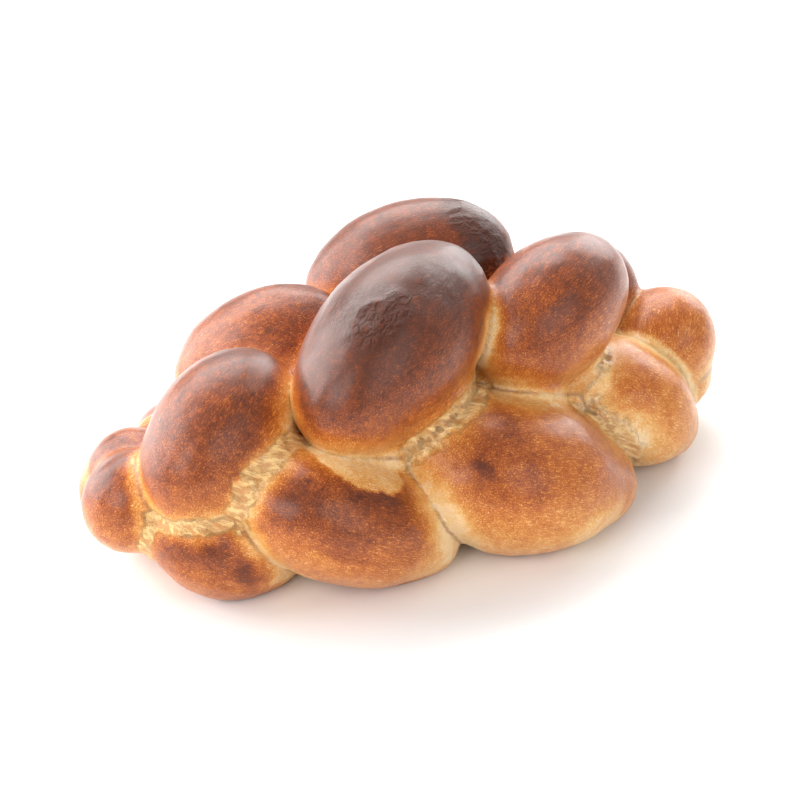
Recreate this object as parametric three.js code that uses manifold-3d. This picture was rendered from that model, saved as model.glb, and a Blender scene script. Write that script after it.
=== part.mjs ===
// A braided loaf: four strands of sweet dough plaited into a short round braid, fat in the
// middle and tapered to both ends, and baked into one piece.
//
// Millimetres. +X runs along the loaf, +Y to the back and +Z up. The loaf rests on Z = 0, and
// the origin is under the middle of its box.
//
// The strands cross at ten stations along the loaf, and four columns of lobes run round it.
// At an even station the strands that climb from the front pass over, in the front top and
// back bottom columns. At an odd station the strands that climb from the back pass over, in
// the back top and front bottom columns. Where a strand passes over, it swells into a lobe.

import * as THREE from 'three';
import { mergeVertices } from 'three/addons/utils/BufferGeometryUtils.js';
import Module from 'manifold-3d';

// Stations, and the lens shape that gives the loaf its fat middle and slim ends.
const STATIONS = 10;
const BRAID_HALF_LENGTH = 146;
const CROWDING_DEG = 63;
const LENS_HALF_LENGTH = 156;
const LENS_MIDDLE_X = -2;
const TIP_FATNESS = 0.02;
const CORE_HEIGHT = 29;

// A lobe at the fat middle: how far its centre lies from the core line of the braid, its half
// length along the strand and its half width across. Each shrinks as a power of the fatness.
const LOBE_REACH = 63;
const LOBE_HALF_LENGTH = 52;
const LOBE_HALF_WIDTH = 29;
const LOBE_BULGE = 1.22;
const REACH_TAPER = 0.95;
const LENGTH_TAPER = 0.63;
const WIDTH_TAPER = 0.3;

// Each column's place round the core, counted in degrees from the front and up, and the slant
// of its lobes against the long axis.
const COLUMNS = {
  front_top: { around: 60, slant: 36 },
  front_bottom: { around: 4, slant: -35 },
  back_top: { around: 130, slant: -35 },
  back_bottom: { around: 176, slant: 36 },
};

// Dough is never quite even. What differs from the rule, by column and station: slide along
// the loaf and lift off the core in millimetres, turn round the core and lean on top of the
// slant in degrees, and swell of the whole lobe, stretch of its length and bulge outwards.
const EVEN = { slide: 0, turn: 0, lift: 0, swell: 1, stretch: 1, bulge: 1, lean: 0 };
const UNEVEN = {
  front_top_0: { slide: 4, turn: -6, lift: 3, swell: 1.15, bulge: 0.85, lean: -5 },
  front_top_2: { slide: -10, turn: 4, lift: 6, swell: 1.2, stretch: 1.05, bulge: 0.9 },
  front_top_4: { slide: -2, turn: 6, lift: 8, swell: 1.2, bulge: 0.9, lean: -5 },
  front_top_6: { slide: 4, turn: 6, lift: 10, swell: 1.1, stretch: 0.95, bulge: 0.9, lean: -10 },
  front_top_8: { slide: 17, turn: -10, lift: 3, swell: 1.55, stretch: 1.05, lean: 20 },
  front_bottom_1: { slide: 12, turn: -12, stretch: 1.05, bulge: 0.9, lean: 5 },
  front_bottom_3: { slide: -5, lift: 2, swell: 1.05, stretch: 1.05, lean: 5 },
  front_bottom_5: { slide: 2, turn: -2, lift: -2, swell: 1.2, stretch: 0.9, bulge: 1.05, lean: 15 },
  front_bottom_7: { slide: 9, turn: -2, lift: -3, swell: 1.2, stretch: 0.85 },
  front_bottom_9: { slide: -2, turn: -10, lift: 5, swell: 1.3, lean: 10 },
  back_top_1: { slide: -5, turn: 6, lift: -5, swell: 0.95, stretch: 0.9, bulge: 0.9, lean: -10 },
  back_top_3: { slide: 7, turn: 5, lift: -9, swell: 1.04, stretch: 0.9 },
  back_top_5: { slide: 8, turn: -4, lift: 8, lean: 5 },
  back_top_7: { slide: 12, lift: 2, swell: 1.1, lean: 20 },
  back_bottom_0: { slide: 14, turn: 8, lift: -4 },
  back_bottom_2: { slide: 12, turn: 12, lift: -12, swell: 0.9 },
  back_bottom_8: { slide: -6, lift: -4 },
};

// The tail of a low lobe, where its strand runs on under the next lobe, as shares of the lobe.
// A web of dough fills each hollow where lobes of two columns meet, as shares of a lobe there.
const TAIL = { along: 0.62, length: 0.55, width: 0.68 };
const WEB = { reach: 0.84, length: 0.4, width: 0.6 };

// The rope of dough that joins the lobes of one strand where it dives under its neighbours,
// and the solid crumb in the middle, as shares of the braid's half length, reach and height.
const ROPE_RADIUS = 15;
const ROPE_REACH = 0.25;
const CRUMB = { length: 0.9, width: 0.95, height: 1.7 };

// How finely the solids are faceted.
const LOBE_SIDES = 16;
const LOBE_RINGS = 11;
const FILL_SIDES = 10;
const FILL_RINGS = 8;
const ROPE_SIDES = 8;
const ROPE_STEPS = 24;

const CRUST = new THREE.MeshStandardMaterial({ color: 0xa9622f, roughness: 0.5, metalness: 0 });

const wasm = await Module();
wasm.setup();

/** Distance along the loaf of a station: wide apart in the middle, crowded at the ends. */
function stationX(station) {
  const middle = (STATIONS - 1) / 2;
  const crowding = THREE.MathUtils.degToRad(CROWDING_DEG);
  const share = (station - middle) / middle;
  return BRAID_HALF_LENGTH * Math.sin(crowding * share) / Math.sin(crowding);
}

/** Fatness of the loaf at x, from 1 at the middle down to almost nothing at the tips. */
function fatnessAt(x) {
  const share = (x - LENS_MIDDLE_X) / LENS_HALF_LENGTH;
  return Math.max(1 - share * share, TIP_FATNESS);
}

/** Unit vector out of the core, at an angle counted from the front and up. */
function outward(degrees) {
  const angle = THREE.MathUtils.degToRad(degrees);
  return new THREE.Vector3(0, -Math.cos(angle), Math.sin(angle));
}

/** Point at a distance from the core line, at x and at an angle round it. */
function pointRound(x, degrees, reach) {
  return new THREE.Vector3(x, 0, CORE_HEIGHT).addScaledVector(outward(degrees), reach);
}

/** A lobe's centre, its three axes and its three half sizes. */
function lobe(column, station) {
  const { around, slant } = COLUMNS[column];
  const uneven = { ...EVEN, ...UNEVEN[`${column}_${station}`] };
  const x = stationX(station) + uneven.slide;
  const fatness = fatnessAt(x);
  const turn = around + uneven.turn;
  const lean = THREE.MathUtils.degToRad(slant + uneven.lean);
  const out = outward(turn);
  const along = new THREE.Vector3(Math.cos(lean), 0, 0);
  along.addScaledVector(outward(turn + 90), Math.sin(lean));
  const width = LOBE_HALF_WIDTH * fatness ** WIDTH_TAPER * uneven.swell;
  return {
    centre: pointRound(x, turn, LOBE_REACH * fatness ** REACH_TAPER + uneven.lift),
    along,
    across: along.clone().cross(out),
    out,
    length: LOBE_HALF_LENGTH * fatness ** LENGTH_TAPER * uneven.swell * uneven.stretch,
    width,
    height: width * LOBE_BULGE * uneven.bulge,
  };
}

/** The tail of a lobe, low on the side where its strand dives under the next one. */
function tailOf(whole) {
  return {
    ...whole,
    centre: whole.centre.clone().addScaledVector(whole.along, whole.length * TAIL.along),
    length: whole.length * TAIL.length,
    width: whole.width * TAIL.width,
    height: whole.height * TAIL.width,
  };
}

/** The tails of the lobes in the two low columns. */
function lowTails() {
  const tails = [];
  for (let station = 0; station < STATIONS; station += 1) {
    const column = station % 2 === 0 ? 'back_bottom' : 'front_bottom';
    tails.push(tailOf(lobe(column, station)));
  }
  return tails;
}

/** The web of dough in the hollow between two columns, half a station on. */
function webBetween(first, second, station) {
  const x = (stationX(station) + stationX(station + 1)) / 2;
  const fatness = fatnessAt(x);
  const around = (COLUMNS[first].around + COLUMNS[second].around) / 2;
  const along = new THREE.Vector3(1, 0, 0);
  const out = outward(around);
  const width = LOBE_HALF_WIDTH * fatness ** WIDTH_TAPER * WEB.width;
  return {
    centre: pointRound(x, around, LOBE_REACH * fatness ** REACH_TAPER * WEB.reach),
    along,
    across: along.clone().cross(out),
    out,
    length: LOBE_HALF_LENGTH * fatness ** LENGTH_TAPER * WEB.length,
    width,
    height: width,
  };
}

/** Every web between neighbouring columns, but not at the crowded tips. */
function allWebs() {
  const order = ['front_bottom', 'front_top', 'back_top', 'back_bottom'];
  const webs = [];
  for (let pair = 1; pair < order.length; pair += 1) {
    for (let station = 1; station < STATIONS - 2; station += 1) {
      webs.push(webBetween(order[pair - 1], order[pair], station));
    }
  }
  return webs;
}

/** The lobes of one strand in order, starting in a column at a station. */
function strandLobes(columns, firstStation) {
  const lobes = [];
  for (let station = firstStation; station < STATIONS; station += 2) {
    const pass = (station - firstStation) / 2;
    lobes.push(lobe(columns[pass % 2], station));
  }
  return lobes;
}

/** An egg of dough, long along its strand. */
function lobeGeometry(shape, sides, rings) {
  const { centre, along, across, out, length, width, height } = shape;
  const place = new THREE.Matrix4().makeBasis(
    across.clone().multiplyScalar(width),
    along.clone().multiplyScalar(length),
    out.clone().multiplyScalar(height),
  );
  place.setPosition(centre);
  return new THREE.SphereGeometry(1, sides, rings).applyMatrix4(place);
}

/** The rope that runs through the lobes of a strand and near the core between them. */
function ropeGeometry(lobes) {
  const points = [];
  lobes.forEach((here, index) => {
    if (index > 0) {
      const before = lobes[index - 1];
      const under = before.centre.clone().add(here.centre).multiplyScalar(0.5);
      under.y *= ROPE_REACH;
      under.z = THREE.MathUtils.lerp(CORE_HEIGHT, under.z, ROPE_REACH);
      points.push(under);
    }
    points.push(here.centre);
  });
  const section = new THREE.Shape().absarc(0, 0, ROPE_RADIUS, 0, Math.PI * 2, false);
  return new THREE.ExtrudeGeometry(section, {
    steps: ROPE_STEPS,
    curveSegments: ROPE_SIDES,
    extrudePath: new THREE.CatmullRomCurve3(points),
  });
}

/** The crumb that fills the middle of the braid. */
function crumbGeometry() {
  return new THREE.SphereGeometry(1, LOBE_SIDES, LOBE_RINGS)
    .scale(BRAID_HALF_LENGTH * CRUMB.length, LOBE_REACH * CRUMB.width, CORE_HEIGHT * CRUMB.height)
    .translate(0, 0, CORE_HEIGHT);
}

/** A block whose top is the surface that the loaf rests on. */
function tableGeometry() {
  const size = 4 * BRAID_HALF_LENGTH;
  return new THREE.BoxGeometry(size, size, size).translate(0, 0, -size / 2);
}

/** A solid for cutting and joining, from a closed geometry. */
function toSolid(geometry) {
  geometry.deleteAttribute('normal');
  geometry.deleteAttribute('uv');
  const merged = mergeVertices(geometry, 1e-4);
  return new wasm.Manifold(new wasm.Mesh({
    numProp: 3,
    vertProperties: new Float32Array(merged.attributes.position.array),
    triVerts: new Uint32Array(merged.index.array),
  }));
}

/** A geometry from a solid. */
function toGeometry(solid) {
  const { vertProperties, triVerts } = solid.getMesh();
  const geometry = new THREE.BufferGeometry();
  geometry.setAttribute('position', new THREE.BufferAttribute(vertProperties, 3));
  geometry.setIndex(new THREE.BufferAttribute(triVerts, 1));
  return geometry;
}

/** The whole loaf: every strand joined to the crumb, flat where it rests, centred in plan. */
function loafGeometry() {
  const strands = [
    strandLobes(['front_top', 'back_bottom'], 0),
    strandLobes(['back_bottom', 'front_top'], 0),
    strandLobes(['front_bottom', 'back_top'], 1),
    strandLobes(['back_top', 'front_bottom'], 1),
  ];
  let loaf = toSolid(crumbGeometry());
  for (const lobes of strands) {
    loaf = loaf.add(toSolid(ropeGeometry(lobes)));
    for (const each of lobes) {
      loaf = loaf.add(toSolid(lobeGeometry(each, LOBE_SIDES, LOBE_RINGS)));
    }
  }
  for (const fill of [...lowTails(), ...allWebs()]) {
    loaf = loaf.add(toSolid(lobeGeometry(fill, FILL_SIDES, FILL_RINGS)));
  }
  const geometry = toGeometry(loaf.subtract(toSolid(tableGeometry())));
  geometry.computeBoundingBox();
  const middle = geometry.boundingBox.getCenter(new THREE.Vector3());
  return geometry.translate(-middle.x, -middle.y, 0).toNonIndexed();
}

const group = new THREE.Group();
const geometry = loafGeometry();
geometry.computeVertexNormals();
const loaf = new THREE.Mesh(geometry, CRUST);
loaf.name = 'loaf';
group.add(loaf);

export default group;
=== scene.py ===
"""A braided loaf of sweet bread, plaited short and fat from four strands and baked in one piece.

The lobes follow the same rule as the solid loaf: strands cross at ten stations, four columns of
lobes run round the core, and each lobe is an egg of dough. Here the eggs melt into one skin that
is fine enough for creases, torn crumb and wrinkles, and every point of it is browned as an oven
would; a thin dark line of painted shade also lies in its closed creases. Four lobes differ a
little from the solid's, and the webs between the two top columns are sunk deeper. Dough sizes
are millimetres until the mesh is made, and everything in Blender is metres.
"""

import math

import bpy
import numpy as np
import openvdb
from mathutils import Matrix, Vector


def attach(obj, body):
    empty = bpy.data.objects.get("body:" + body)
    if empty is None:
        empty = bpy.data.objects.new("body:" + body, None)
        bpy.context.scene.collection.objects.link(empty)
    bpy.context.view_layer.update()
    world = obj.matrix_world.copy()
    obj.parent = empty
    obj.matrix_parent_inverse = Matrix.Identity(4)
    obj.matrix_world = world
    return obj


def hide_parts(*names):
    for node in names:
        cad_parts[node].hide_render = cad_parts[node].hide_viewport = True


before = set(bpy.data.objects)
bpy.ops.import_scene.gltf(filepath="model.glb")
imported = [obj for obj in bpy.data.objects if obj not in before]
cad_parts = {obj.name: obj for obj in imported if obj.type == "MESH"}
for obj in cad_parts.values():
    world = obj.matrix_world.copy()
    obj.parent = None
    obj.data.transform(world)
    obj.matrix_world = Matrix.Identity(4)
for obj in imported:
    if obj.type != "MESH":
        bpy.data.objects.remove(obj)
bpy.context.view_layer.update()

MM = 0.001
NODE = "loaf"

# ---------------------------------------------------------------- the braid, in millimetres

STATIONS = 10
BRAID_HALF_LENGTH = 146
CROWDING_DEG = 63
LENS_HALF_LENGTH = 156
LENS_MIDDLE_X = -2
TIP_FATNESS = 0.02
CORE_HEIGHT = 29

LOBE_REACH = 63
LOBE_HALF_LENGTH = 52
LOBE_HALF_WIDTH = 29
LOBE_BULGE = 1.22
REACH_TAPER = 0.95
LENGTH_TAPER = 0.63
WIDTH_TAPER = 0.3

COLUMNS = {
    "front_top": {"around": 60, "slant": 36},
    "front_bottom": {"around": 4, "slant": -35},
    "back_top": {"around": 130, "slant": -35},
    "back_bottom": {"around": 176, "slant": 36},
}

# How a lobe differs from the rule, as dough is uneven: its slide along the loaf, its turn round the
# core and its lean in degrees, its lift out of the core, and shares of its size, length and height.
EVEN = dict(slide=0, turn=0, lift=0, swell=1, stretch=1, bulge=1, lean=0)
UNEVEN = {
    "front_top_0": dict(slide=4, turn=-6, lift=3, swell=1.24, bulge=0.85, lean=-5),
    "front_top_2": dict(slide=-10, turn=4, lift=6, swell=1.2, stretch=1.05, bulge=0.9),
    "front_top_4": dict(slide=-2, turn=6, lift=8, swell=1.2, bulge=0.9, lean=-5),
    "front_top_6": dict(slide=4, turn=6, lift=10, swell=1.1, stretch=0.95, bulge=0.9, lean=-10),
    "front_top_8": dict(slide=17, turn=-15, lift=3, swell=1.55, stretch=1.15, lean=20),
    "front_bottom_1": dict(slide=12, turn=-12, stretch=1.05, bulge=0.9, lean=5),
    "front_bottom_3": dict(slide=-5, lift=2, swell=1.05, stretch=1.05, lean=5),
    "front_bottom_5": dict(slide=2, turn=-2, lift=-2, swell=1.2, stretch=0.9, bulge=1.05, lean=15),
    "front_bottom_7": dict(slide=9, turn=-2, lift=-3, swell=1.2, stretch=0.85),
    "front_bottom_9": dict(slide=-2, turn=-10, lift=5, swell=1.3, lean=10),
    "back_top_1": dict(slide=-8, turn=6, lift=-5, swell=1.0, stretch=0.9, bulge=0.9, lean=-10),
    "back_top_3": dict(slide=7, turn=5, lift=-9, swell=1.04, stretch=0.9),
    "back_top_5": dict(slide=8, turn=-4, lift=8, lean=5),
    "back_top_7": dict(slide=14, lift=6, swell=1.1, lean=20),
    "back_bottom_0": dict(slide=14, turn=8, lift=-4),
    "back_bottom_2": dict(slide=12, turn=12, lift=-12, swell=0.9),
    "back_bottom_8": dict(slide=-6, lift=-4),
}

# The tail of a low lobe, where its strand runs on under the next lobe, as shares of the lobe.
# A web of dough fills each hollow where lobes of two columns meet, as shares of a lobe there.
TAIL = {"along": 0.62, "length": 0.55, "width": 0.68}
WEB = {"reach": 0.84, "length": 0.4, "width": 0.6}
TOP_COLUMNS = ("front_top", "back_top")
TOP_WEB_SINK = 14
CRUMB = {"length": 0.9, "width": 0.95, "height": 1.7}


def outward(degrees):
    """Unit vector out of the core, at an angle counted from the front and up."""
    angle = math.radians(degrees)
    return np.array([0.0, -math.cos(angle), math.sin(angle)])


def station_x(station):
    """Distance along the loaf of a station: wide apart in the middle, crowded at the ends."""
    middle = (STATIONS - 1) / 2
    crowding = math.radians(CROWDING_DEG)
    return BRAID_HALF_LENGTH * math.sin(crowding * (station - middle) / middle) / math.sin(crowding)


def fatness_at(x):
    """Fatness of the loaf at x, from 1 at the middle down to almost nothing at the tips."""
    return max(1 - ((x - LENS_MIDDLE_X) / LENS_HALF_LENGTH) ** 2, TIP_FATNESS)


class Lobe:
    """An egg of dough: its centre, its three axes as rows, and its three half sizes."""

    def __init__(self, name, centre, axes, sizes, owner=None):
        self.name = name
        self.owner = owner or name
        self.centre = np.array(centre, float)
        self.axes = np.array(axes, float)
        self.sizes = np.array(sizes, float)

    def local(self, points):
        """Where points lie in the lobe: along, across and out, in millimetres."""
        return (points - self.centre) @ self.axes.T

    def distance(self, points):
        """How far points lie from the lobe's skin, less than nothing inside it."""
        scaled = self.local(points) / self.sizes
        near = np.linalg.norm(scaled, axis=-1)
        slope = np.linalg.norm(scaled / self.sizes, axis=-1)
        return near * (near - 1) / np.maximum(slope, 1e-6)

    def reach(self):
        """Half sizes of the box that holds the lobe."""
        return np.sqrt(((self.axes * self.sizes[:, None]) ** 2).sum(axis=0))


def braid_lobe(column, station):
    """The lobe of a column at a station."""
    name = f"{column}_{station}"
    uneven = EVEN | UNEVEN.get(name, {})
    x = station_x(station) + uneven["slide"]
    fatness = fatness_at(x)
    turn = COLUMNS[column]["around"] + uneven["turn"]
    lean = math.radians(COLUMNS[column]["slant"] + uneven["lean"])
    out = outward(turn)
    along = math.cos(lean) * np.array([1.0, 0, 0]) + math.sin(lean) * outward(turn + 90)
    across = np.cross(along, out)
    reach = LOBE_REACH * fatness ** REACH_TAPER + uneven["lift"]
    length = LOBE_HALF_LENGTH * fatness ** LENGTH_TAPER * uneven["swell"] * uneven["stretch"]
    width = LOBE_HALF_WIDTH * fatness ** WIDTH_TAPER * uneven["swell"]
    centre = np.array([x, 0, CORE_HEIGHT]) + out * reach
    height = width * LOBE_BULGE * uneven["bulge"]
    return Lobe(name, centre, (along, across, out), (length, width, height))


def tail_of(lobe):
    """The tail of a lobe, low on the side where its strand dives under the next one."""
    centre = lobe.centre + lobe.axes[0] * lobe.sizes[0] * TAIL["along"]
    shares = np.array([TAIL["length"], TAIL["width"], TAIL["width"]])
    return Lobe(f"{lobe.name}_tail", centre, lobe.axes, lobe.sizes * shares, lobe.name)


def web_between(columns, station):
    """The web of dough in the hollow between two columns, half a station on."""
    x = (station_x(station) + station_x(station + 1)) / 2
    fatness = fatness_at(x)
    around = sum(COLUMNS[column]["around"] for column in columns) / 2
    width = LOBE_HALF_WIDTH * fatness ** WIDTH_TAPER * WEB["width"]
    length = LOBE_HALF_LENGTH * fatness ** LENGTH_TAPER * WEB["length"]
    out = outward(around)
    reach = LOBE_REACH * fatness ** REACH_TAPER * WEB["reach"]
    reach -= TOP_WEB_SINK if columns == TOP_COLUMNS else 0
    centre = np.array([x, 0, CORE_HEIGHT]) + out * reach
    axes = ((1, 0, 0), np.cross((1, 0, 0), out), out)
    return Lobe(f"web_{columns[0]}_{station}", centre, axes, (length, width, width))


def braid():
    """All the lobes of the four strands, and the crumb that fills the middle."""
    lobes = []
    for station in range(STATIONS):
        columns = ("front_top", "back_bottom") if station % 2 == 0 else ("front_bottom", "back_top")
        lobes += [braid_lobe(column, station) for column in columns]
    lobes += [tail_of(lobe) for lobe in lobes if "bottom" in lobe.name]
    order = ("front_bottom", "front_top", "back_top", "back_bottom")
    for columns in zip(order, order[1:]):
        lobes += [web_between(columns, station) for station in range(1, STATIONS - 2)]
    crumb = Lobe("crumb", (0, 0, CORE_HEIGHT), np.eye(3), (
        BRAID_HALF_LENGTH * CRUMB["length"],
        LOBE_REACH * CRUMB["width"],
        CORE_HEIGHT * CRUMB["height"],
    ))
    return lobes + [crumb]


# ---------------------------------------------------------------- the skin

GRID = 1.6
CREASE_ROUNDING = 1.6
BASE_ROUNDING = 2.0
MARGIN = 12.0
DEEPEST = -40
FARTHEST = 60
CELLS_BELOW_TABLE = 4
TABLE_EDGE = 1.5

# Where a strand pulls out from under its neighbour the crust tears, and stretched crumb bridges
# the valley: the two lobes, and how wide the bridge is.
TEARS = (
    ("front_top_0", "front_bottom_1", 9),
    ("front_top_2", "front_bottom_1", 11),
    ("front_top_2", "front_bottom_3", 16),
    ("front_top_4", "front_bottom_5", 21),
    ("front_top_6", "front_bottom_7", 9),
    ("front_bottom_5", "front_bottom_7", 19),
)


def blend(a, b, width):
    """Union of two distances whose valley is filled over a width."""
    overlap = np.maximum(width - np.abs(a - b), 0) / width
    return np.minimum(a, b) - overlap ** 2 * width / 4


def box_of(lobe, axes):
    """The part of the grid that a lobe can reach, as slices."""
    low, high = lobe.centre - lobe.reach() - MARGIN, lobe.centre + lobe.reach() + MARGIN
    return tuple(slice(*np.searchsorted(axis, (a, b))) for axis, a, b in zip(axes, low, high))


def grid_points(axes, box):
    """The points of a part of the grid."""
    parts = [axis[part] for axis, part in zip(axes, box)]
    return np.stack(np.meshgrid(*parts, indexing="ij"), axis=-1)


def skin_field(axes, lobes):
    """Distance to the skin of the whole loaf at each grid point, before it rests on the table."""
    total = np.full([len(axis) for axis in axes], math.exp(-MARGIN / CREASE_ROUNDING))
    for lobe in lobes:
        box = box_of(lobe, axes)
        distance = np.clip(lobe.distance(grid_points(axes, box)), DEEPEST, FARTHEST)
        total[box] += np.exp(-distance / CREASE_ROUNDING)
    field = -CREASE_ROUNDING * np.log(total)
    by_name = {lobe.name: lobe for lobe in lobes}
    for first, second, width in TEARS:
        box = box_of(by_name[second], axes)
        points = grid_points(axes, box)
        bridge = blend(by_name[first].distance(points), by_name[second].distance(points), width)
        field[box] = np.minimum(field[box], bridge)
    return field


def rest_on_table(skin, z):
    """The skin cut flat at the table, with its edge rounded over."""
    return -blend(-skin, z, BASE_ROUNDING)


def grid_axes(lobes):
    """The three axes of a grid that holds every lobe."""
    low = np.min([lobe.centre - lobe.reach() for lobe in lobes], axis=0) - MARGIN
    high = np.max([lobe.centre + lobe.reach() for lobe in lobes], axis=0) + MARGIN
    low[2] = -CELLS_BELOW_TABLE * GRID
    return [np.arange(a, b, GRID) for a, b in zip(low, high)]


def skin_mesh(lobes):
    """Points and four-sided faces of the skin, in millimetres."""
    axes = grid_axes(lobes)
    field = rest_on_table(skin_field(axes, lobes), axes[2])
    grid = openvdb.FloatGrid(background=MARGIN)
    grid.copyFromArray(field.astype(np.float32))
    points, quads = grid.convertToQuads(isovalue=0.0)
    corner = np.array([axis[0] for axis in axes])
    return points.astype(float) * GRID + corner, quads


def make_object(name, points, quads):
    """A mesh object in metres from points in millimetres."""
    mesh = bpy.data.meshes.new(name)
    mesh.from_pydata((points * MM).tolist(), [], quads.tolist())
    mesh.shade_smooth()
    piece = bpy.data.objects.new(name, mesh)
    bpy.context.scene.collection.objects.link(piece)
    return piece


# ---------------------------------------------------------------- browning

# How much browner than the rule a lobe bakes, for those that differ.
BAKE = {
    "front_top_0": 0.93,
    "front_top_4": 1.15,
    "front_top_6": 0.97,
    "front_top_8": 0.64,
    "front_bottom_1": 1.32,
    "front_bottom_3": 0.97,
    "front_bottom_5": 0.73,
    "front_bottom_7": 0.5,
    "front_bottom_9": 0.6,
    "back_top_1": 0.9,
    "back_top_3": 0.92,
    "back_top_9": 0.4,
}

# Patches that are browner, or paler if the amount is below nothing: the lobe, the middle of the
# patch along and across it, its reach along and across, and how much browner it is.
PATCHES = (
    ("front_bottom_5", -27, -14, 20, 20, 0.12),
    ("front_bottom_5", -39, -12, 4, 4, 0.18),
    ("front_bottom_5", -46, 20, 14, 14, -0.14),
    ("front_bottom_5", 30, 12, 24, 22, -0.18),
    ("front_bottom_3", -38, -6, 12, 14, 0.12),
    ("front_bottom_3", 34, 0, 18, 18, -0.14),
    ("front_bottom_3", -18, 2, 18, 11, 0.12),
    ("front_bottom_1", 2, -2, 15, 10, 0.24),
    ("front_top_4", -16, -6, 16, 16, 0.12),
    ("back_top_5", 38, 14, 15, 15, 0.22),
    ("front_top_6", -26, 16, 22, 12, 0.1),
    ("front_top_6", -33, 2, 26, 24, -0.1),
    ("front_bottom_7", -22, -16, 16, 14, 0.12),
    ("front_bottom_7", -14, 6, 14, 14, -0.12),
    ("front_top_0", -4, -17, 20, 9, 0.16),
    ("back_top_1", 0, 17, 18, 9, 0.16),
)

# Where a strand slid from under the next one, pale dough shows beyond a ragged dark rim: the
# lobe, the middle of the slide along and across it, and its reach along and across.
SLIDES = (
    ("front_bottom_3", -12, -29.5, 26, 8),
)

# Where the crust dried before the dough stopped rising it wrinkled along the strand: the lobe,
# the middle of the wrinkles along and across it, their reach, and how high they stand.
WRINKLES = (
    ("front_top_4", -19, -8, 20, 0.9),
    ("front_top_4", 16, 4, 20, 0.25),
    ("back_top_5", 36, 14, 15, 0.6),
)

FAR = 1e3
LOBE_APART = 97
LOAF_TOP = 127
LEAST_CROWN = 0.17
LEAST_CROWN_AT_LEFT_END = 0.25


def smooth_step(low, high, value):
    """From 0 at low to 1 at high, with soft shoulders."""
    share = np.clip((value - low) / (high - low), 0, 1)
    return share * share * (3 - 2 * share)


def lattice(cells, seed):
    """A fixed random number from -1 to 1 for each whole-number cell."""
    keys = cells.astype(np.int64) + 4096
    mixed = keys[..., 0] * 73856093 ^ keys[..., 1] * 19349663 ^ keys[..., 2] * 83492791
    mixed = (mixed ^ seed * 2654435761) & 0xFFFFFFFF
    mixed = (mixed ^ mixed >> 16) * 0x45D9F3B & 0xFFFFFFFF
    mixed = (mixed ^ mixed >> 16) * 0x45D9F3B & 0xFFFFFFFF
    return (mixed ^ mixed >> 16) / 0x7FFFFFFF - 1


def lumps(points, size, seed):
    """Smooth noise from -1 to 1 with lumps of a size."""
    scaled = points / size
    cells = np.floor(scaled)
    share = scaled - cells
    share = share * share * (3 - 2 * share)
    total = np.zeros(len(points))
    for step in np.ndindex(2, 2, 2):
        weight = np.prod(np.where(step, share, 1 - share), axis=1)
        total += weight * lattice(cells + step, seed)
    return total


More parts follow.
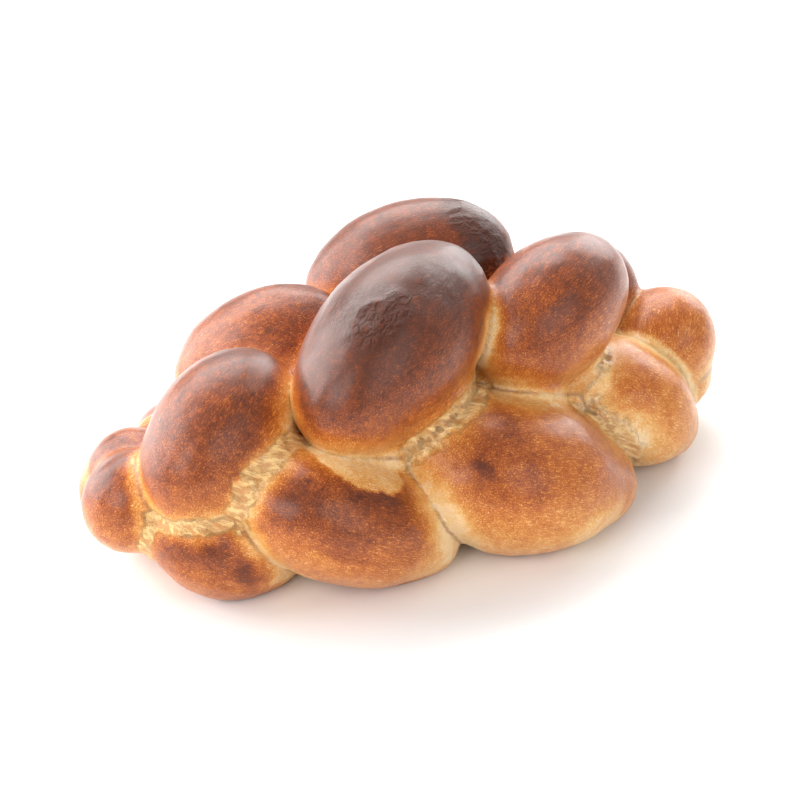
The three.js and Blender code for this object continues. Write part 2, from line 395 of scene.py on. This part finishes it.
class Surface:
    """What the baker sees at every point: which lobe it is on, how near a crease, how browned."""

    def __init__(self, points, lobes):
        self.points = points
        self.names = sorted({lobe.owner for lobe in lobes})
        self.wholes = {lobe.name: lobe for lobe in lobes}
        distances = np.full((len(self.names), len(points)), FAR)
        for lobe in lobes:
            row = distances[self.names.index(lobe.owner)]
            np.minimum(row, lobe.distance(points), out=row)
        self.distances = distances
        hollow = np.array([name.startswith(("web", "crumb")) for name in self.names])
        whole = np.where(hollow[:, None], FAR, distances)
        self.own = np.argmin(whole, axis=0)
        nearest = np.partition(whole, 1, axis=0)
        self.gap = nearest[1] - nearest[0]
        self.hollow = smooth_step(0.5, 3.0, nearest[0] - distances.min(axis=0))
        on_top = np.array([name.startswith("web_front_top") for name in self.names])
        self.ridge = self.hollow * on_top[np.argmin(distances, axis=0)]
        self.strand = self.strand_places()
        self.tear = self.tear_share()
        self.strand = np.where(self.tear[:, None] > 0, self.threads, self.strand)

    def strand_places(self):
        """Places along, across and out of the lobe that each point is on."""
        places = np.zeros_like(self.points)
        for index, name in enumerate(self.names):
            on = self.own == index
            places[on] = self.wholes[name].local(self.points[on])
            places[on, 2] += LOBE_APART * index
        return places

    def tear_share(self):
        """From 0 on whole crust to 1 in the middle of the torn crumb."""
        tear = np.zeros(len(self.points))
        self.threads = np.zeros_like(self.points)
        self.stretched = np.zeros(len(self.points))
        for first, second, width in TEARS:
            a = self.distances[self.names.index(first)]
            b = self.distances[self.names.index(second)]
            near = np.minimum(a, b)
            filled = (near - blend(a, b, width)) / width
            here = smooth_step(0.0, 0.2, filled) * smooth_step(6, 3, near)
            self.threads[here > tear] = self.wholes[second].local(self.points[here > tear])
            tear = np.maximum(tear, here)
            beside = smooth_step(2.4 * width, 0.6 * width, b - a) * smooth_step(6, 3, near)
            self.stretched = np.maximum(self.stretched, beside)
        ragged = 0.3 * lumps(self.points, 5, 7) + 0.15 * lumps(self.points, 2.5, 8)
        return smooth_step(0.3, 0.7, tear + ragged * (tear > 0))

    def reaches_from(self, name, along, across, length, width):
        """How many reaches each point lies from a place on a lobe, a little roughly."""
        place = self.strand[:, :2] - (along, across)
        off = np.linalg.norm(place / (length, width), axis=1)
        off += 0.08 * lumps(self.points, 4, 11) + 0.14 * lumps(self.points, 14, 12)
        return np.where(self.own == self.names.index(name), off, 9.0)

    def patch_share(self, *place):
        """From 0 outside a rough-edged patch of a lobe to 1 inside it."""
        return smooth_step(1.0, 0.5, self.reaches_from(*place))

    def slides(self):
        """Shares of pale dough, and of dark rim beyond it, where a strand slid out."""
        off = np.min([self.reaches_from(*place) for place in SLIDES], axis=0)
        pale = smooth_step(1.06, 0.92, off + 0.12 * lumps(self.points, 3, 13))
        return pale, smooth_step(2.0, 1.1, off) * (1 - pale)

    def patches(self):
        """Extra browning of the darker patches."""
        return sum(amount * self.patch_share(*place) for *place, amount in PATCHES)

    def dry(self):
        """From 0 on soft crust to 1 where it dried and wrinkled most."""
        return sum(height * self.patch_share(name, along, across, reach, reach)
                   for name, along, across, reach, height in WRINKLES)

    def wrinkles(self):
        """Height of the sharp wrinkles that run along the strands, in millimetres."""
        spread = self.strand * (0.45, 1, 1)
        ridge = np.clip(1 - 2.6 * np.abs(lumps(spread, 4.6, 31) + 0.4 * lumps(spread, 9, 32)), 0, 1)
        return ridge * self.dry()

    def browning(self, normals):
        """From 0 for pale dough to 1 for the darkest crust."""
        wander = 3.0 * lumps(self.points, 16, 3) + 1.6 * lumps(self.points, 6, 4)
        sizes = np.array([self.wholes[name].sizes[1] for name in self.names])[self.own]
        width = 0.58 * sizes * (1 - 0.5 * smooth_step(80, 110, self.points[:, 2]))
        width *= 1 - 0.5 * smooth_step(85, 125, np.abs(self.points[:, 0]))
        crown = smooth_step(-0.1, 1.0, (self.gap + wander - 6 * self.stretched) / width) ** 0.7
        least = LEAST_CROWN + LEAST_CROWN_AT_LEFT_END * smooth_step(-100, -130, self.points[:, 0])
        crown = np.maximum(least + (1 - least) * crown, self.ridge)
        lit = smooth_step(-0.6, 0.8, normals[:, 2])
        high = np.clip(self.points[:, 2] / LOAF_TOP, 0, 1)
        brown = crown * (0.34 + 0.30 * lit + 0.22 * high)
        brown *= np.array([BAKE.get(name, 1.0) for name in self.names])[self.own]
        brown += 0.07 * lumps(self.points, 30, 5) * crown + 0.05 * lumps(self.points, 9, 6) * crown
        brown += self.patches() + 0.1 * self.dry() - 0.2 * self.wrinkles() + 0.2 * self.ridge
        pale, rim = self.slides()
        brown = brown * (1 - 0.7 * pale) + 0.14 * rim
        return np.clip(brown, 0, 1) * (1 - 0.25 * self.hollow) * (1 - 0.85 * self.tear)

    def seam(self):
        """Painted crease shadow: from 0 on the crust to 1 right in a closed crease, where a thin dark
        line stands for shade and in part for a browner baked edge.
        """
        closed = smooth_step(1.6, 0.3, self.gap) * (1 - self.tear)
        return closed * smooth_step(-0.6, 0.5, lumps(self.points, 14, 9))

    def relief(self):
        """How far the skin stands out of the smooth dough, in millimetres; torn crumb is ropy."""
        streaks = self.strand * (0.22, 1, 1)
        rise = 1.3 * lumps(self.points, 38, 21) + 0.4 * lumps(self.points, 15, 22)
        rise += 0.14 * lumps(self.points, 6, 23) + 0.14 * lumps(streaks, 3.4, 24) + 0.6 * self.wrinkles()
        pits = smooth_step(0.1, 0.6, lumps(self.points, 5, 26))
        torn = 1.2 * lumps(streaks * (0.7, 1, 1), 4.2, 25) - 1.8 * pits
        return rise + torn * self.tear


def set_attribute(mesh, name, values):
    """Store a number or a vector for each point of a mesh."""
    kind, field = ("FLOAT", "value") if values.ndim == 1 else ("FLOAT_VECTOR", "vector")
    attribute = mesh.attributes.new(name, kind, "POINT")
    attribute.data.foreach_set(field, np.ascontiguousarray(values, np.float32).ravel())


def point_normals(mesh):
    """The normal at each point of a mesh."""
    normals = np.empty(len(mesh.vertices) * 3, np.float32)
    mesh.vertex_normals.foreach_get("vector", normals)
    return normals.reshape(-1, 3).astype(float)


# ---------------------------------------------------------------- crust material


class Value:
    """A socket that can be used in sums."""

    def __init__(self, shader, socket):
        self.shader = shader
        self.socket = socket

    def _math(self, operation, a, b):
        return self.shader.node("ShaderNodeMath", {"operation": operation}, {0: a, 1: b})

    def __add__(self, other):
        return self._math("ADD", self, other)

    def __sub__(self, other):
        return self._math("SUBTRACT", self, other)

    def __mul__(self, other):
        return self._math("MULTIPLY", self, other)

    def __rsub__(self, other):
        return self._math("SUBTRACT", other, self)

    __radd__ = __add__
    __rmul__ = __mul__

    def between(self, low, high):
        """0 at low, 1 at high, with soft shoulders."""
        settings = {"interpolation_type": "SMOOTHSTEP"}
        return self.shader.node("ShaderNodeMapRange", settings, {0: self, 1: low, 2: high})


class Shader:
    """A material under construction."""

    def __init__(self, name):
        self.material = bpy.data.materials.new(name)
        self.material.use_nodes = True
        self.tree = self.material.node_tree
        self.surface = self.tree.nodes["Principled BSDF"]

    def node(self, kind, settings=None, inputs=None, output=0):
        """A node of a kind, with its settings made first and then its inputs."""
        made = self.tree.nodes.new(kind)
        for name, value in (settings or {}).items():
            if name == "stops":
                self._set_stops(made.color_ramp, value)
            else:
                setattr(made, name, value)
        for key, value in (inputs or {}).items():
            self.feed(made.inputs[key], value)
        return Value(self, made.outputs[output])

    def _set_stops(self, ramp, stops):
        while len(ramp.elements) < len(stops):
            ramp.elements.new(1.0)
        for element, (place, colour) in zip(ramp.elements, stops):
            element.position = place
            element.color = colour

    def feed(self, socket, value):
        """Link a value to a socket, or set the socket to a number or colour."""
        if isinstance(value, Value):
            self.tree.links.new(value.socket, socket)
        else:
            socket.default_value = value

    def attribute(self, name, output="Fac"):
        return self.node("ShaderNodeAttribute", {"attribute_name": name}, output=output)

    def mix(self, share, first, second):
        """A colour between two, by a share from 0 to 1."""
        settings = {"data_type": "RGBA"}
        return self.node("ShaderNodeMix", settings, {0: share, 6: first, 7: second}, output=2)

    def noise(self, place, size, detail=2, roughness=0.5, output=0):
        """Noise from 0 to 1 with lumps of a size in millimetres."""
        inputs = {"Vector": place, "Scale": 1 / (size * MM), "Detail": detail,
                  "Roughness": roughness}
        return self.node("ShaderNodeTexNoise", None, inputs, output)

    def stretched(self, place, share):
        """A place along and across a strand, with its length shrunk so that noise stretches."""
        return self.node("ShaderNodeMapping", None, {"Vector": place, "Scale": (share, 1.0, 1.0)})

    def finish(self, **inputs):
        """Set the inputs of the surface, given by name with _ for a space."""
        for name, value in inputs.items():
            self.feed(self.surface.inputs[name.replace("_", " ")], value)
        return self.material


def colour(red, green, blue):
    """A colour for a socket, from screen values of 0 to 255."""
    def linear(value):
        share = value / 255
        return share / 12.92 if share <= 0.04045 else ((share + 0.055) / 1.055) ** 2.4
    return (linear(red), linear(green), linear(blue), 1.0)


# Colours of dough as it browns, by share of browning.
BROWNING_STOPS = (
    (0.0, colour(242, 212, 168)),
    (0.08, colour(236, 196, 134)),
    (0.2, colour(226, 166, 90)),
    (0.36, colour(208, 130, 54)),
    (0.54, colour(180, 96, 32)),
    (0.7, colour(148, 70, 22)),
    (0.84, colour(114, 50, 14)),
    (1.0, colour(80, 34, 12)),
)
TORN_CRUMB = colour(240, 199, 132)
TORN_SHADE = colour(192, 128, 62)
# Painted shade: the dark brown laid as a thin line into closed creases, partly a browner baked edge.
CREASE_SHADOW_COLOUR = colour(150, 86, 38)


def crust_material():
    """Egg-washed crust: browned by the oven, speckled with small blisters, pale where it tore."""
    shader = Shader("crust")
    place = shader.node("ShaderNodeTexCoord", output="Object")
    strand = shader.attribute("strand", "Vector")
    brown = shader.attribute("brown")
    tear = shader.attribute("tear")
    seam = shader.attribute("seam")

    along = shader.stretched(strand, 0.16)
    grain = shader.noise(along, 0.55, detail=3, roughness=0.6)
    mottle = shader.noise(place, 4, detail=3)
    fine = shader.noise(place, 0.6, detail=3, roughness=0.6)
    cells = shader.node("ShaderNodeTexVoronoi", None, {"Vector": place, "Scale": 1 / (0.9 * MM)})
    crowd = shader.noise(place, 7, detail=2).between(0.3, 0.55)
    speck = (1 - cells.between(0.15, 0.45)) * crowd
    streak = grain.between(0.5, 0.7)
    pore = fine.between(0.58, 0.75)
    blotch = shader.noise(along, 2.4, detail=2).between(0.55, 0.75)

    dry = shader.attribute("dry")
    shrunk = shader.stretched(strand, 0.45)
    bend = shader.node("ShaderNodeVectorMath", {"operation": "SCALE"},
                       {0: shader.noise(place, 4, detail=3, output=1), "Scale": 5 * MM})
    bent = shader.node("ShaderNodeVectorMath", {"operation": "ADD"}, {0: shrunk, 1: bend})
    cracks = shader.node("ShaderNodeTexVoronoi", {"feature": "DISTANCE_TO_EDGE"},
                         {"Vector": bent, "Scale": 1 / (3.4 * MM)})
    folds = cracks.between(0.0, 0.3)
    lively = brown * (1.04 - brown) * 2.9 + 0.12
    tone = brown + (mottle - 0.5) * 0.34 + (0.5 - fine) * 0.42
    tone = tone + (0.11 - speck * 0.22 - streak * 0.34 - pore * 0.22) * lively
    tone = tone + blotch * brown * 0.16 + (1 - folds) * dry * 0.6
    crust = shader.node("ShaderNodeValToRGB", {"stops": BROWNING_STOPS}, {0: tone})
    threads = shader.noise(along, 2.2, detail=4, roughness=0.6).between(0.38, 0.62)
    crumb = shader.mix(threads, TORN_SHADE, TORN_CRUMB)
    base = shader.mix(tear * 0.85, crust, crumb)
    # Painted shade: darken the colour along closed creases.
    base = shader.mix(seam * 0.7, base, CREASE_SHADOW_COLOUR)

    rough = 0.6 - brown * 0.18 + (fine - 0.5) * 0.2 + tear * 0.25
    height = folds * dry * 4.5 + speck * 0.5 + grain * 1.1 + fine * 0.9 + mottle * 0.8
    height = height + threads * tear * 1.2
    bump = shader.node("ShaderNodeBump", None,
                       {"Strength": 0.8, "Distance": 0.6 * MM, "Height": height})
    return shader.finish(
        Base_Color=base,
        Roughness=rough,
        Normal=bump,
        Subsurface_Weight=0.1,
        Subsurface_Radius=(1.0, 0.45, 0.2),
        Subsurface_Scale=2.5 * MM,
        Specular_IOR_Level=0.08,
        Coat_Weight=1.0,
        Coat_IOR=1.39,
        Coat_Roughness=0.34,
    )


def bake_loaf():
    """The crust over the whole loaf."""
    lobes = braid()
    points, quads = skin_mesh(lobes)
    surface = Surface(points, lobes)
    smooth = make_object("dough", points, quads)
    normals = point_normals(smooth.data)
    bpy.data.meshes.remove(smooth.data)
    baked = points + normals * surface.relief()[:, None]
    baked[:, 2] = np.where(points[:, 2] < TABLE_EDGE, np.maximum(points[:, 2], 0), baked[:, 2])
    middle = (baked.min(axis=0) + baked.max(axis=0)) / 2
    middle[2] = baked[:, 2].min()
    crust = make_object("crust", baked - middle, quads)
    set_attribute(crust.data, "brown", surface.browning(normals))
    set_attribute(crust.data, "tear", surface.tear)
    # Painted crease shadow, kept on the mesh for the crust material.
    set_attribute(crust.data, "seam", surface.seam())
    set_attribute(crust.data, "dry", surface.dry())
    set_attribute(crust.data, "strand", surface.strand * MM)
    crust.data.materials.append(crust_material())
    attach(crust, "root")
    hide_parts(NODE)


bake_loaf()

# ---------------------------------------------------------------- floor, lights and camera

CAMERA_AZIMUTH = -31
CAMERA_ELEVATION = 30
CAMERA_DISTANCE = 0.99
CAMERA_LENS = 96.7
CAMERA_TARGET = Vector((-0.0048, 0.0018, 0.0471))

FLOOR_HALF_SIZE = 3
FLOOR_COLOUR = (0.9, 0.9, 0.9, 1)
FLOOR_ROUGHNESS = 0.8

# The softboxes: where each stands, its size, and its power in watts.
LIGHTS = {
    "softbox_left": ((-1.0, 1.0, 0.65), 1.7, 56),
    "softbox_top": ((0.3, 1.1, 1.2), 1.2, 27),
    "softbox_right": ((1.3, 0.75, 0.7), 1.0, 16),
    "fill_left": ((-1.4, -0.6, 0.9), 1.0, 14),
    "fill_front": ((0.4, -1.7, 1.0), 1.4, 12),
}
WORLD_STRENGTH = 0.49


def add_camera():
    """The camera, looking down on the front of the loaf past its left end."""
    data = bpy.data.cameras.new("camera")
    data.lens = CAMERA_LENS
    camera = bpy.data.objects.new("camera", data)
    azimuth, elevation = math.radians(CAMERA_AZIMUTH), math.radians(CAMERA_ELEVATION)
    back = Vector((
        math.sin(azimuth) * math.cos(elevation),
        -math.cos(azimuth) * math.cos(elevation),
        math.sin(elevation),
    ))
    camera.location = CAMERA_TARGET + back * CAMERA_DISTANCE
    camera.rotation_euler = (-back).to_track_quat("-Z", "Y").to_euler()
    bpy.context.scene.collection.objects.link(camera)
    bpy.context.scene.camera = camera


def add_floor():
    """A plain pale floor."""
    mesh = bpy.data.meshes.new("floor")
    half = FLOOR_HALF_SIZE
    corners = [(-half, -half, 0), (half, -half, 0), (half, half, 0), (-half, half, 0)]
    mesh.from_pydata(corners, [], [(0, 1, 2, 3)])
    floor = bpy.data.objects.new("floor", mesh)
    material = bpy.data.materials.new("floor")
    material.use_nodes = True
    bsdf = material.node_tree.nodes["Principled BSDF"]
    bsdf.inputs["Base Color"].default_value = FLOOR_COLOUR
    bsdf.inputs["Roughness"].default_value = FLOOR_ROUGHNESS
    mesh.materials.append(material)
    bpy.context.scene.collection.objects.link(floor)


def add_light(name, place, size, power):
    """A square softbox that faces the loaf."""
    data = bpy.data.lights.new(name, "AREA")
    data.size = size
    data.energy = power
    light = bpy.data.objects.new(name, data)
    light.location = place
    light.rotation_euler = (CAMERA_TARGET - Vector(place)).to_track_quat("-Z", "Y").to_euler()
    bpy.context.scene.collection.objects.link(light)


def add_world():
    """An even white light from all around."""
    world = bpy.data.worlds.new("studio")
    world.use_nodes = True
    background = world.node_tree.nodes["Background"]
    background.inputs["Color"].default_value = (1, 1, 1, 1)
    background.inputs["Strength"].default_value = WORLD_STRENGTH
    bpy.context.scene.world = world


add_camera()
add_floor()
for name, (place, size, power) in LIGHTS.items():
    add_light(name, place, size, power)
add_world()
bpy.context.scene.view_settings.view_transform = "Standard"
